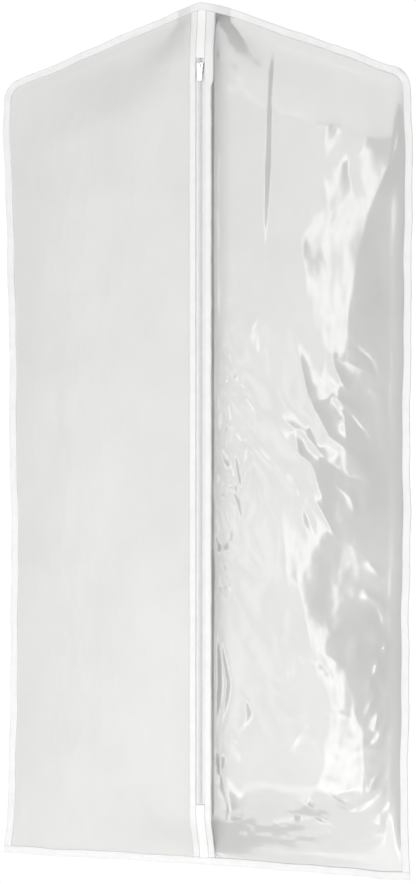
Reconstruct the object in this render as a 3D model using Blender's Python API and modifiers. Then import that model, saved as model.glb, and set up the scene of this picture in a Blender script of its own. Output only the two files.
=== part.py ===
"""A hanging garment bag: a flat fabric back, a front of one matte and one clear panel joined by a full-length
zip, folded tape bound round every edge, and an open mouth at the peak for a hanger's hook.

Metres, +Z up, front towards -Y. The origin is the middle of the mouth, level with the peak.
"""

import math

import bmesh
import bpy
from mathutils import Vector

# Bag outline
WIDTH = 0.610
HEIGHT = 1.270
SHOULDER_DROP = 0.110  # peak down to where the shoulder line would meet the side
CORNER_RADIUS = 0.035
MOUTH_HALF = 0.040  # half the length of the unsewn stretch at the peak
MOUTH_DROP = 0.0088  # peak down to the ends of the mouth
MOUTH_RISE = 0.015  # how far the front lip stands off the seam

# How full the bag hangs
FILL = 0.024  # how far the front stands off the seam over its level middle
TOP_FADE = 0.070  # height over which the front swells out below the shoulder binding
BOTTOM_FADE = 0.070  # and above the bottom binding
FADE_MARGIN_TOP = 0.0062  # chain ends this far inside the level stretch
FADE_MARGIN_BOTTOM = 0.016

# Materials' thickness, and the clearance between pieces that lie on each other
FABRIC = 0.0006
VINYL = 0.0004
TAPE = 0.0005
GAP = 0.0003

# Bindings and plackets
BINDING = 0.011
PLACKET = 0.0095
PLACKET_LIFT = 0.001  # the front is this much prouder along the plackets
PLACKET_FADE = 0.010

# Zip
ZIP_GAP_HALF = 0.0068  # from the chain's middle to each placket
ZIP_TAPE = 0.0145
COIL = 0.0020  # width of each row of teeth
COIL_DEPTH = 0.0019
CHAIN_SLOT_HALF = 0.0009  # half the slot that the slider's post runs in
STOP = 0.0032  # length of an end stop
STOP_WALL = 0.00045
STOP_REACH = 0.0030

# Slider
SLIDER_LENGTH = 0.017
SLIDER_CLEARANCE = 0.0006  # from its wide end to the placket on each side
SLIDER_THROAT = 0.0009  # from its foot's flanges to the teeth
SLIDER_PLATE = 0.0011
SLIDER_FLANGE = 0.0012
SLIDER_BELOW_STOPS = 0.002
BRIDGE_LENGTH = 0.0080
BRIDGE_HALF = 0.0009
BRIDGE_BEAM = 0.0009
BRIDGE_EYE = 0.0030
BRIDGE_DOWN = 0.0065  # slider's top edge down to the pull's pivot

# Pull tab
PULL_LENGTH = 0.0210  # pivot to tip
PULL_HALF = 0.0036
PULL_TIP_HALF = 0.0029
PULL_THICKNESS = 0.0010
PULL_BAR = 0.0011
PULL_SIDE_PLAY = 0.0006  # between the window and the bridge
PULL_END_PLAY = 0.0008
PULL_BAR_PLAY = 0.0001  # left round the bar's corners as it turns in the eye

# Places that follow from the sizes
BOTTOM = -HEIGHT
SIDE = WIDTH / 2
SLOPE = (SHOULDER_DROP - MOUTH_DROP) / (SIDE - MOUTH_HALF)
SLANT = math.hypot(1, SLOPE)
ARC_X = SIDE - CORNER_RADIUS
TUCK = TAPE + GAP  # panel edges stop this far inside the binding's fold
LEG = FABRIC / 2 + GAP + TAPE / 2  # panel's middle to the middle of the tape over it
SEAM_Y = (MOUTH_RISE + PLACKET_LIFT) / 2  # puts the mouth's middle on the origin
FRONT_SEAM_Y = SEAM_Y - (GAP + FABRIC) / 2
BACK_Y = SEAM_Y + (GAP + FABRIC) / 2
PLACKET_OUT = ZIP_GAP_HALF + PLACKET
PANEL_IN = ZIP_GAP_HALF + TUCK
LEVEL_Z = -(SHOULDER_DROP + BINDING + TOP_FADE + 0.009)  # rows of the front are level below this
CHAIN_TOP = -(BINDING * SLANT + TOP_FADE + FADE_MARGIN_TOP)
CHAIN_BOTTOM = BOTTOM + BINDING + BOTTOM_FADE + FADE_MARGIN_BOTTOM
LEVEL_Y = FRONT_SEAM_Y - PLACKET_LIFT - FILL  # the front's middle surface along the chain
TAPE_IN = LEG + TAPE / 2 + GAP  # zip tapes lie behind the plackets, measured inwards from LEVEL_Y
TAPE_OUT = TAPE_IN + FABRIC
COIL_IN = TAPE_IN - GAP
COIL_OUT = COIL_IN - COIL_DEPTH
SLIDER_TOP = CHAIN_TOP - SLIDER_BELOW_STOPS
SLIDER_TOP_HALF = ZIP_GAP_HALF - SLIDER_CLEARANCE
SLIDER_FOOT_HALF = CHAIN_SLOT_HALF + COIL + SLIDER_THROAT + SLIDER_FLANGE
PIVOT_Z = SLIDER_TOP - BRIDGE_DOWN
PLATE_IN = COIL_OUT - GAP
PLATE_OUT = PLATE_IN - SLIDER_PLATE
BRIDGE_EYE_DEPTH = math.hypot(PULL_BAR, PULL_THICKNESS) + 2 * PULL_BAR_PLAY
PIVOT_OUT = PLATE_OUT - BRIDGE_EYE_DEPTH / 2
PULL_WINDOW_HALF = BRIDGE_HALF + PULL_SIDE_PLAY
PULL_WINDOW = math.hypot(BRIDGE_LENGTH / 2, BRIDGE_EYE_DEPTH / 2 + BRIDGE_BEAM) + PULL_END_PLAY

TOP_ROWS = 14
BOTTOM_ROWS = 9
ARC_STEPS = 8

for old in list(bpy.data.objects):
    bpy.data.objects.remove(old, do_unlink=True)
parts = bpy.data.collections.new("garment_bag")
cutters = bpy.data.collections.new("cutters")
for collection in (parts, cutters):
    bpy.context.scene.collection.children.link(collection)


def material(name, colour, roughness, metallic=0.0, alpha=1.0):
    made = bpy.data.materials.new(name)
    made.use_nodes = True
    shader = made.node_tree.nodes["Principled BSDF"]
    shader.inputs["Base Color"].default_value = (*colour, 1.0)
    shader.inputs["Roughness"].default_value = roughness
    shader.inputs["Metallic"].default_value = metallic
    shader.inputs["Alpha"].default_value = alpha
    return made


MATTE = material("matte_panel", (0.72, 0.72, 0.70), 0.75)
CLEAR = material("clear_vinyl", (0.86, 0.87, 0.87), 0.12, alpha=0.35)
TRIM = material("binding_tape", (0.84, 0.84, 0.84), 0.65)
WOVEN = material("zip_tape", (0.82, 0.82, 0.82), 0.80)
NYLON = material("zip_coil", (0.80, 0.80, 0.80), 0.40)
METAL = material("zip_metal", (0.78, 0.78, 0.79), 0.18, metallic=1.0)


# The shape of the front


def smooth(t):
    t = min(max(t, 0.0), 1.0)
    return t * t * (3 - 2 * t)


def top_line(x):
    """Height of the sewn top edge before the shoulder corners are rounded."""
    x = abs(x)
    if x <= MOUTH_HALF:
        return -MOUTH_DROP * x / MOUTH_HALF
    return -MOUTH_DROP - SLOPE * (x - MOUTH_HALF)


ARC_Z = top_line(ARC_X) - CORNER_RADIUS * SLANT


def edge_z(x, inset):
    """Height of the top edge at x, moved inwards by inset."""
    x = abs(x)
    radius = CORNER_RADIUS - inset
    if x <= ARC_X + radius * SLOPE / SLANT:
        return top_line(x) - inset * SLANT
    return ARC_Z + math.sqrt(max(radius**2 - (x - ARC_X) ** 2, 0.0))


def front_y(x, z):
    """Middle surface of the front: flat under the bindings, full and level between them."""
    across = max(0.0, 1 - (abs(x) / (SIDE - BINDING)) ** 3)
    lip = MOUTH_RISE * max(0.0, 1 - (x / MOUTH_HALF) ** 2)
    below_top = smooth((edge_z(x, BINDING) - z) / TOP_FADE)
    above_bottom = smooth((z - BOTTOM - BINDING) / BOTTOM_FADE)
    lift = PLACKET_LIFT * (1 - smooth((abs(x) - PLACKET_OUT) / PLACKET_FADE))
    return FRONT_SEAM_Y - lift - (lip + (FILL * across - lip) * below_top) * above_bottom


def on_front(x, z, inward):
    """A point off the front's middle surface, inward metres towards the inside of the bag."""
    step = 0.0001
    dx = (front_y(x + step, z) - front_y(x - step, z)) / (2 * step)
    dz = (front_y(x, z + step) - front_y(x, z - step)) / (2 * step)
    return Vector((x, front_y(x, z), z)) + inward * Vector((-dx, 1, -dz)).normalized()


def rows(x, above=None, below=None):
    """Heights at x of the rows that every piece of the front shares, from the top edge down."""
    start = edge_z(x, BINDING)
    down = [start + (LEVEL_Z - start) * i / TOP_ROWS for i in range(1, TOP_ROWS + 1)]
    foot = BOTTOM + BINDING
    up = [foot + BOTTOM_FADE * 1.15 * i / BOTTOM_ROWS for i in range(BOTTOM_ROWS, 0, -1)]
    margin = PLACKET_OUT * SLOPE
    high, low = [edge_z(x, TUCK), start], [foot, BOTTOM + TUCK]
    if above is not None:
        high, down, up = [above], [z for z in down if z < above - margin], [z for z in up if z < above - margin]
    if below is not None:
        low, down, up = [below], [z for z in down if z > below + margin], [z for z in up if z > below + margin]
    return high + down + up + low


# Makers


def sheet(name, columns, thickness, finish):
    """Thin material over a grid of points, given as columns of equal length."""
    mesh = bpy.data.meshes.new(name)
    bm = bmesh.new()
    across, along = len(columns) - 1, len(columns[0]) - 1
    bmesh.ops.create_grid(bm, x_segments=across, y_segments=along, size=0.5)
    bm.verts.ensure_lookup_table()
    for vertex in bm.verts:
        column = round((vertex.co.x + 0.5) * across)
        row = round((vertex.co.y + 0.5) * along)
        vertex.co = columns[column][row]
    bm.to_mesh(mesh)
    bm.free()
    piece = bpy.data.objects.new(name, mesh)
    parts.objects.link(piece)
    mesh.materials.append(finish)
    shell = piece.modifiers.new("thickness", "SOLIDIFY")
    shell.thickness = thickness
    shell.offset = 0.0
    shell.use_even_offset = True
    return piece


def prism(name, outlines, low, high, along, finish=None):
    """Flat outlines, the first filled and the others holes in it, stretched from low to high along an axis."""
    turns = {"X": (math.pi / 2, 0, math.pi / 2), "Y": (math.pi / 2, 0, 0), "Z": (0, 0, 0)}
    curve = bpy.data.curves.new(name, "CURVE")
    curve.dimensions = "2D"
    curve.fill_mode = "BOTH"
    curve.extrude = (high - low) / 2
    for outline in outlines:
        spline = curve.splines.new("POLY")
        spline.points.add(len(outline) - 1)
        for point, (u, v) in zip(spline.points, outline):
            point.co = (u, v, 0, 1)
        spline.use_cyclic_u = True
    drawn = bpy.data.objects.new(name + "_outline", curve)
    cutters.objects.link(drawn)
    drawn.rotation_euler = turns[along]
    drawn.location["XYZ".index(along)] = (low + high) / 2
    bpy.context.view_layer.update()
    mesh = bpy.data.meshes.new_from_object(drawn.evaluated_get(bpy.context.evaluated_depsgraph_get()))
    mesh.transform(drawn.matrix_world)
    bpy.data.objects.remove(drawn)
    bm = bmesh.new()
    bm.from_mesh(mesh)
    bmesh.ops.remove_doubles(bm, verts=bm.verts, dist=0.000001)
    bmesh.ops.recalc_face_normals(bm, faces=bm.faces)
    bm.to_mesh(mesh)
    bm.free()
    solid = bpy.data.objects.new(name, mesh)
    if finish is None:
        cutters.objects.link(solid)
        solid.hide_render = True
        solid.display_type = "WIRE"
    else:
        parts.objects.link(solid)
        mesh.materials.clear()
        mesh.materials.append(finish)
    return solid


def combine(solid, other, operation):
    step = solid.modifiers.new(other.name, "BOOLEAN")
    step.operation = operation
    step.solver = "EXACT"
    step.object = other


def rounded(corners, radius, steps=4):
    """Corners of a convex outline given anticlockwise, each replaced by an arc."""
    outline = []
    for i, corner in enumerate(corners):
        here = Vector(corner)
        before = (Vector(corners[i - 1]) - here).normalized()
        after = (Vector(corners[(i + 1) % len(corners)]) - here).normalized()
        half = before.angle(after) / 2
        centre = here + (before + after).normalized() * radius / math.sin(half)
        start = here + before * radius / math.tan(half) - centre
        sweep = math.pi - 2 * half
        for k in range(steps + 1):
            turn = sweep * k / steps
            cos, sin = math.cos(turn), math.sin(turn)
            outline.append((centre.x + start.x * cos - start.y * sin, centre.y + start.x * sin + start.y * cos))
    return outline


def rectangle(u0, u1, v0, v1):
    return [(u0, v0), (u1, v0), (u1, v1), (u0, v1)]


# Panels


def back_panel():
    arc = CORNER_RADIUS - TUCK
    first = math.atan2(1, SLOPE)
    right = [(MOUTH_HALF, edge_z(MOUTH_HALF, TUCK))]
    for k in range(ARC_STEPS + 1):
        angle = first * (1 - k / ARC_STEPS)
        right.append((ARC_X + arc * math.cos(angle), ARC_Z + arc * math.sin(angle)))
    right.append((SIDE - TUCK, BOTTOM + TUCK))
    outline = [(0.0, edge_z(0.0, TUCK))] + right + [(-x, z) for x, z in reversed(right)]
    prism("back_panel", [outline[::-1]], BACK_Y - FABRIC / 2, BACK_Y + FABRIC / 2, "Y", MATTE)


def front_panel(name, side, thickness, finish):
    near = [PANEL_IN, (ZIP_GAP_HALF + PLACKET_OUT) / 2]
    near += [PLACKET_OUT + PLACKET_FADE * share for share in (0.0, 0.5, 1.0)]
    lip = [MOUTH_HALF * share for share in (0.78, 0.87, 0.94, 1.0, 1.15, 1.5)]
    wide = [ARC_X * share for share in (0.35, 0.55, 0.75, 0.9, 1.0)]
    reach = CORNER_RADIUS - TUCK
    arc = [ARC_X + reach * math.sin(math.pi / 2 * k / ARC_STEPS) for k in range(2, ARC_STEPS + 1)]
    stations = sorted(near + lip + wide + arc + [SIDE - BINDING])
    columns = [[Vector((side * x, front_y(x, z), z)) for z in rows(x)] for x in stations]
    return sheet(name, columns, thickness, finish)


# Strips along the zip


def placket(name, side):
    """Tape folded round the panel's edge along the zip."""
    fold = ZIP_GAP_HALF + TAPE / 2
    hem = PLACKET_OUT - TAPE / 2
    leg = [fold, (fold + hem) / 2, hem]
    section = [(x, -LEG) for x in reversed(leg)] + [(x, LEG) for x in leg]
    low = BOTTOM + BINDING + GAP
    columns = []
    for x, inward in section:
        high = edge_z(x, BINDING + GAP)
        columns.append([on_front(side * x, z, inward) for z in rows(x, high, low)])
    sheet(name, columns, TAPE, TRIM)


def zip_tape(name, side):
    high = CHAIN_TOP * 0.5
    low = BOTTOM + BINDING + BOTTOM_FADE * 0.3
    middle = (TAPE_IN + TAPE_OUT) / 2
    stations = [CHAIN_SLOT_HALF + ZIP_TAPE * share for share in (0.0, 0.5, 1.0)]
    columns = [[on_front(side * x, z, middle) for z in rows(0.0, high, low)] for x in stations]
    sheet(name, columns, FABRIC, WOVEN)


def zip_coil(name, side):
    inner, outer = CHAIN_SLOT_HALF, CHAIN_SLOT_HALF + COIL
    corners = rectangle(*sorted((side * inner, side * outer)), LEVEL_Y + COIL_OUT, LEVEL_Y + COIL_IN)
    prism(name, [rounded(corners, COIL * 0.25, 2)], CHAIN_BOTTOM, CHAIN_TOP, "Z", NYLON)


def patch(name, high, low):
    """Plain fabric between the plackets, beyond an end of the chain."""
    edge = ZIP_GAP_HALF - GAP
    columns = [[on_front(x, z, 0.0) for z in rows(x, high, low)] for x in (-edge, 0.0, edge)]
    sheet(name, columns, FABRIC, MATTE)


def top_stop(name, side):
    """Metal crimped round a tape's inner edge above the teeth."""
    fold = CHAIN_SLOT_HALF - GAP - STOP_WALL / 2
    front, back = TAPE_IN - GAP - STOP_WALL / 2, TAPE_OUT + GAP + STOP_WALL / 2
    section = [(STOP_REACH, front), (fold, front), (fold, back), (STOP_REACH, back)]
    low = CHAIN_TOP + GAP
    columns = [[Vector((side * x, LEVEL_Y + y, z)) for z in (low + STOP, low)] for x, y in section]
    sheet(name, columns, STOP_WALL, METAL)


def bottom_stop():
    """Metal staple across both tapes below the teeth, as an H section."""
    post = CHAIN_SLOT_HALF - GAP
    levels = [
        LEVEL_Y + TAPE_IN - GAP - STOP_WALL,
        LEVEL_Y + TAPE_IN - GAP,
        LEVEL_Y + TAPE_OUT + GAP,
        LEVEL_Y + TAPE_OUT + GAP + STOP_WALL,
    ]
    right = [(STOP_REACH, levels[0]), (STOP_REACH, levels[1]), (post, levels[1])]
    right += [(post, levels[2]), (STOP_REACH, levels[2]), (STOP_REACH, levels[3])]
    outline = right + [(-x, y) for x, y in reversed(right)]
    prism("bottom_stop", [outline], CHAIN_BOTTOM - GAP - STOP, CHAIN_BOTTOM - GAP, "Z", METAL)


# Slider and pull


def slider_body():
    foot = SLIDER_TOP - SLIDER_LENGTH
    back = LEVEL_Y + TAPE_OUT + GAP
    corners = [
        (-SLIDER_FOOT_HALF, foot),
        (SLIDER_FOOT_HALF, foot),
        (SLIDER_TOP_HALF, SLIDER_TOP),
        (-SLIDER_TOP_HALF, SLIDER_TOP),
    ]
    outline = rounded(corners, 0.0018)
    body = prism("slider_body", [outline], LEVEL_Y + PLATE_OUT, back + SLIDER_PLATE, "Y", METAL)
    throat = [
        (SLIDER_FLANGE - SLIDER_FOOT_HALF, foot - 0.001),
        (SLIDER_FOOT_HALF - SLIDER_FLANGE, foot - 0.001),
        (SLIDER_TOP_HALF - SLIDER_FLANGE, SLIDER_TOP + 0.001),
        (SLIDER_FLANGE - SLIDER_TOP_HALF, SLIDER_TOP + 0.001),
    ]
    combine(body, prism("slider_throat", [throat], LEVEL_Y + PLATE_IN, back, "Y"), "DIFFERENCE")
    slots = rectangle(-0.02, 0.02, foot - 0.001, SLIDER_TOP + 0.001)
    combine(body, prism("slider_tape_slots", [slots], LEVEL_Y + COIL_IN, back, "Y"), "DIFFERENCE")
    half = CHAIN_SLOT_HALF - GAP
    wedge = [
        (0.0, SLIDER_TOP - 0.009),
        (half, SLIDER_TOP - 0.006),
        (half, SLIDER_TOP - 0.0015),
        (-half, SLIDER_TOP - 0.0015),
        (-half, SLIDER_TOP - 0.006),
    ]
    bury = SLIDER_PLATE / 4
    combine(body, prism("slider_post", [wedge], LEVEL_Y + PLATE_IN - bury, back + bury, "Y"), "UNION")
    outer = LEVEL_Y + PLATE_OUT - BRIDGE_EYE_DEPTH - BRIDGE_BEAM
    root = LEVEL_Y + PLATE_OUT + bury
    arch = [
        (root, PIVOT_Z + BRIDGE_LENGTH / 2),
        (outer + 0.0012, PIVOT_Z + BRIDGE_LENGTH / 2),
        (outer, PIVOT_Z + BRIDGE_LENGTH / 2 - 0.0016),
        (outer, PIVOT_Z - BRIDGE_LENGTH / 2 + 0.0016),
        (outer + 0.0012, PIVOT_Z - BRIDGE_LENGTH / 2),
        (root, PIVOT_Z - BRIDGE_LENGTH / 2),
    ]
    eye = rectangle(outer + BRIDGE_BEAM, root - bury / 2, PIVOT_Z - BRIDGE_EYE / 2, PIVOT_Z + BRIDGE_EYE / 2)
    combine(body, prism("slider_bridge", [arch, eye], -BRIDGE_HALF, BRIDGE_HALF, "X"), "UNION")


def pull_tab():
    """Flat tab whose top bar passes through the bridge; its origin is on the bar."""
    waist = -PULL_LENGTH * 0.62
    tab = [
        (-PULL_TIP_HALF, -PULL_LENGTH),
        (PULL_TIP_HALF, -PULL_LENGTH),
        (PULL_HALF, waist),
        (PULL_HALF, PULL_BAR / 2),
        (-PULL_HALF, PULL_BAR / 2),
        (-PULL_HALF, waist),
    ]
    window = rectangle(-PULL_WINDOW_HALF, PULL_WINDOW_HALF, -PULL_WINDOW, -PULL_BAR / 2)
    half = PULL_THICKNESS / 2
    tab_piece = prism("pull_tab", [rounded(tab, 0.0005, 3), window], -half, half, "Y", METAL)
    tab_piece.location = (0.0, LEVEL_Y + PIVOT_OUT, PIVOT_Z)


# Bindings: tape folded over the edges of both panels, or of one at the mouth


def edge_tape(name, stations, wraps):
    """stations are functions from the distance inside the outline to a place (x, z) on the bag."""
    section = [(BINDING, False), (TAPE / 2, False), (TAPE / 2, True), (BINDING, True)]
    columns = []
    for inset, behind in section:
        column = []
        for station in stations:
            x, z = station(inset)
            if wraps == "back" or (behind and wraps == "both"):
                point = Vector((x, BACK_Y + (LEG if behind else -LEG), z))
            else:
                point = on_front(x, z, LEG if behind else -LEG)
            column.append(point)
        columns.append(column)
    sheet(name, columns, TAPE, TRIM)


def upright_cut(x):
    return lambda inset: (x, edge_z(x, inset))


def arc_cut(side, angle):
    def station(inset):
        reach = CORNER_RADIUS - inset
        return side * (ARC_X + reach * math.cos(angle)), ARC_Z + reach * math.sin(angle)

    return station


def shoulder_end(side, back_off):
    """A square cut across the shoulder line, back_off short of where the corner's arc starts."""

    def station(inset):
        reach = CORNER_RADIUS - inset
        x = ARC_X + (reach * SLOPE - back_off) / SLANT
        return side * x, ARC_Z + (reach + back_off * SLOPE) / SLANT

    return station


def side_cut(side, z):
    return lambda inset: (side * (SIDE - inset), z)


def bottom_cut(x):
    return lambda inset: (x, BOTTOM + inset)


def bindings():
    clear = LEG + TAPE / 2 + GAP + LEG + TAPE / 2 - (GAP + FABRIC)  # front lip's tape clears the back lip's
    lip_end = MOUTH_HALF * math.sqrt(1 - clear * 1.15 / MOUTH_RISE)
    lip = [lip_end * k / 8 for k in range(-8, 9)]
    edge_tape("mouth_binding_front", [upright_cut(x) for x in lip], "front")
    edge_tape("mouth_binding_back", [upright_cut(x) for x in (-lip_end, 0.0, lip_end)], "back")
    first = math.atan2(1, SLOPE)
    for hand, side in (("left", -1), ("right", 1)):
        start = upright_cut(side * (MOUTH_HALF + GAP))
        edge_tape("binding_shoulder_" + hand, [start, shoulder_end(side, GAP)], "both")
        arc = [arc_cut(side, first * (1 - k / ARC_STEPS)) for k in range(ARC_STEPS + 1)]
        edge_tape("binding_corner_" + hand, arc, "both")
        ends = (ARC_Z - GAP, BOTTOM + BINDING + GAP)
        edge_tape("binding_side_" + hand, [side_cut(side, z) for z in ends], "both")
    raised = [PLACKET_OUT + PLACKET_FADE * k / 4 for k in range(5)]
    across = [-SIDE, *[-x for x in reversed(raised)], 0.0, *raised, SIDE]
    edge_tape("binding_bottom", [bottom_cut(x) for x in across], "both")


back_panel()
front_panel("front_panel_left", -1, FABRIC, MATTE)
front_panel("front_panel_right", 1, VINYL, CLEAR)
for hand, side in (("left", -1), ("right", 1)):
    placket("placket_" + hand, side)
    zip_tape("zip_tape_" + hand, side)
    zip_coil("zip_coil_" + hand, side)
    top_stop("top_stop_" + hand, side)
bottom_stop()
patch("zip_top_patch", None, CHAIN_TOP + STOP + 2 * GAP)
patch("zip_bottom_patch", CHAIN_BOTTOM - STOP - 2 * GAP, None)
slider_body()
pull_tab()
bindings()
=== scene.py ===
"""A hanging garment bag: a matte panel and a clear vinyl one joined by a full-length zip, in front of a
matte back, with woven tape folded and stitched over every edge.

Metres, in the CAD frame: +X to the viewer's right, -Y out of the front, +Z up, origin in the open mouth.
"""

import math

import bmesh
import bpy
import numpy as np
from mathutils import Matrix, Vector, noise

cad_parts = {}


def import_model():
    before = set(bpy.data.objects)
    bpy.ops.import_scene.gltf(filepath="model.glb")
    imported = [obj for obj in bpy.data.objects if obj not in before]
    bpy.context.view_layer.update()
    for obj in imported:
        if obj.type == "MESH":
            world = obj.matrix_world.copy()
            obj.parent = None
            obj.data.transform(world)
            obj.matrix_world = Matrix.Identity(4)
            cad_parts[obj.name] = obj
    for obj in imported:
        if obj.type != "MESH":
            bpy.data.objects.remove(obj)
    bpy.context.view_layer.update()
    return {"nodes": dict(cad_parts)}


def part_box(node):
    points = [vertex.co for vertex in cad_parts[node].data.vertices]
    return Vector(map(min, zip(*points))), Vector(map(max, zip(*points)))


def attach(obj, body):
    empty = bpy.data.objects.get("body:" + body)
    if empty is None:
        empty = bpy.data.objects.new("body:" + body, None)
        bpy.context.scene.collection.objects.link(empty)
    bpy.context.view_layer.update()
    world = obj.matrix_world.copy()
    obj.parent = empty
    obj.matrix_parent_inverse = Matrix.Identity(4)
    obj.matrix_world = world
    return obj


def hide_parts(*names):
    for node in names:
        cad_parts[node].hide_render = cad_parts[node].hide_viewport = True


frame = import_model()

# Places read from the frame
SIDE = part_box("binding_bottom")[1].x
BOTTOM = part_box("binding_bottom")[0].z
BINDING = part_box("binding_bottom")[1].z - BOTTOM
CHAIN_LOW, CHAIN_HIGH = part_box("zip_coil_left")[0].z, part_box("zip_coil_left")[1].z
COIL_FRONT, COIL_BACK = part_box("zip_coil_left")[0].y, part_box("zip_coil_left")[1].y
PATCH_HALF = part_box("zip_top_patch")[1].x
PATCH_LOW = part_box("zip_top_patch")[0].z
BOTTOM_PATCH_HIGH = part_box("zip_bottom_patch")[1].z
PANEL_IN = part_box("front_panel_right")[0].x
PANEL_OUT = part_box("front_panel_right")[1].x
PLACKET_IN, PLACKET_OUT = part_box("placket_right")[0].x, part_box("placket_right")[1].x

# The front's shape, as the CAD draws it
MOUTH_HALF = 0.040
MOUTH_DROP = 0.0088
MOUTH_RISE = 0.015
SHOULDER_DROP = 0.110
CORNER_RADIUS = 0.035
FILL = 0.024
FADE = 0.070
PLACKET_LIFT = 0.001
PLACKET_FADE = 0.010
EASED_FADE = 0.022
LIP_SPREAD = 0.8  # how fast the eased slope beside the open lip widens, metre for metre below the top edge
FABRIC = 0.0006
TAPE = 0.0005
GAP = 0.0003
LEG = FABRIC / 2 + GAP + TAPE / 2
SEAM_Y = (MOUTH_RISE + PLACKET_LIFT) / 2
FRONT_SEAM_Y = SEAM_Y - (GAP + FABRIC) / 2
BACK_Y = SEAM_Y + (GAP + FABRIC) / 2
SLOPE = (SHOULDER_DROP - MOUTH_DROP) / (SIDE - MOUTH_HALF)
SLANT = math.hypot(1, SLOPE)
ARC_X = SIDE - CORNER_RADIUS
ARC_Z = -MOUTH_DROP - SLOPE * (ARC_X - MOUTH_HALF) - CORNER_RADIUS * SLANT
TUCK = SIDE - PANEL_OUT

# Camera and light
VIEW_TURN = math.radians(13.6)
VIEW_DISTANCE = 3.0
EYE_Z = -0.570
LENS = 83.0
ROOM = 0.25  # the studio's own light
FLOOR_Z = -1.57
FLOOR_RADIUS = 0.95

rng = np.random.default_rng(7)


# Shape of the bag


def smooth(t):
    t = np.clip(t, 0.0, 1.0)
    return t * t * (3 - 2 * t)


def edge_z(x, inset):
    """Height of the bag's top edge at x, moved inwards by inset."""
    x = np.abs(x)
    radius = CORNER_RADIUS - inset
    line = np.where(x <= MOUTH_HALF, -MOUTH_DROP * x / MOUTH_HALF, -MOUTH_DROP - SLOPE * (x - MOUTH_HALF))
    arc = ARC_Z + np.sqrt(np.maximum(radius**2 - (x - ARC_X) ** 2, 0.0))
    return np.where(x <= ARC_X + radius * SLOPE / SLANT, line - inset * SLANT, arc)


def front_y(x, z, fullness=None, fade=FADE, eased=False):
    """The front's middle surface, without wrinkles. fullness, 1 to 0, stands in for its even swelling, and
    fade is how far from the bound edges it swells out. eased gives the slopes beside the placket more room,
    as a sheet drapes between its seams."""
    across = np.maximum(0.0, 1 - (np.abs(x) / (SIDE - BINDING)) ** 3) if fullness is None else fullness
    below = edge_z(x, BINDING) - z
    lip = MOUTH_RISE * np.maximum(0.0, 1 - (x / MOUTH_HALF) ** 2)
    beside = np.maximum(np.abs(x) - PLACKET_OUT, 0.0)
    if eased:
        reach = MOUTH_HALF - PLACKET_OUT + LIP_SPREAD * np.maximum(below, 0.0)
        at_placket = MOUTH_RISE * (1 - (PLACKET_OUT / MOUTH_HALF) ** 2)
        lip = np.where(beside > 0, at_placket * smooth(1 - beside / reach), lip)
    below_top = smooth(below / fade)
    above_bottom = smooth((z - BOTTOM - BINDING) / fade)
    lift = PLACKET_LIFT * (1 - smooth(beside / (EASED_FADE if eased else PLACKET_FADE)))
    lip = lip * (1 - smooth(below / FADE))
    return FRONT_SEAM_Y - lift - (lip + FILL * across * below_top) * above_bottom


def on_front(x, z, inward):
    """Points off the front's middle surface, inward metres towards the inside of the bag."""
    step = 0.0001
    dx = (front_y(x + step, z) - front_y(x - step, z)) / (2 * step)
    dz = (front_y(x, z + step) - front_y(x, z - step)) / (2 * step)
    size = np.sqrt(dx * dx + dz * dz + 1)
    return np.stack([x - inward * dx / size, front_y(x, z) + inward / size, z - inward * dz / size], axis=-1)


def swell(z, middle, reach):
    return np.exp(-(((z - middle) / reach) ** 2))


# How far each side is drawn in, at what height and over what reach
LEFT_BOWS = [(0.0055, -0.80, 0.30), (-0.0075, -0.20, 0.13), (-0.0070, BOTTOM, 0.035)]
RIGHT_BOWS = [(0.0035, -0.30, 0.20), (-0.0025, -1.10, 0.22), (-0.0025, -0.11, 0.03)]
DROOP_RIGHT = 0.0055
DROOP_LEFT = -0.0016


def bowed(z, bows):
    return sum(size * swell(z, middle, reach) for size, middle, reach in bows)


def settle(points):
    """The soft bag's hang, the same for every piece sewn to it: the left side draws in at the middle and
    flares at the corners, the lower right corner droops, and the edges wander. The zip hangs straight."""
    x, y, z = points[..., 0], points[..., 1], points[..., 2]
    left, right = smooth(-x / SIDE), smooth(x / SIDE)
    away = smooth((np.abs(x) - 0.03) / 0.16)
    bow = left * bowed(z, LEFT_BOWS) + right * bowed(z, RIGHT_BOWS)
    wander = 0.0009 * np.sin(z * 24.0 + 1.0) + 0.0005 * np.sin(z * 61.0 + x * 9.0)
    sway = 0.0022 * np.sin(z * 9.0 + 2.1 * np.sign(x)) + 0.0014 * np.sin(z * 23.0 + x * 13.0)
    droop = (DROOP_RIGHT * right + DROOP_LEFT * left) * smooth((-z - 0.80) / 0.45)
    ripple = 0.0008 * np.sin(x * 38.0 + 0.6) + 0.0005 * np.sin(x * 91.0)
    moved = points.copy()
    moved[..., 0] = x + bow + wander * away
    moved[..., 1] = y + sway * away
    moved[..., 2] = z - droop + ripple * away
    return moved


# Makers of meshes


def link(name, data):
    piece = bpy.data.objects.new(name, data)
    bpy.context.scene.collection.objects.link(piece)
    return piece


def new_mesh(name, vertices, faces, uvs=None):
    """A smooth mesh from arrays. uvs holds one pair per vertex, in metres along and across the material."""
    mesh = bpy.data.meshes.new(name)
    mesh.from_pydata(np.asarray(vertices, float).tolist(), [], np.asarray(faces).tolist())
    mesh.polygons.foreach_set("use_smooth", np.ones(len(mesh.polygons), bool))
    if uvs is not None:
        layer = mesh.uv_layers.new(name="length_and_width")
        corners = np.zeros(len(mesh.loops), int)
        mesh.loops.foreach_get("vertex_index", corners)
        layer.data.foreach_set("uv", np.asarray(uvs, np.float32)[corners].ravel())
    mesh.validate()
    mesh.update()
    return link(name, mesh)


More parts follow.
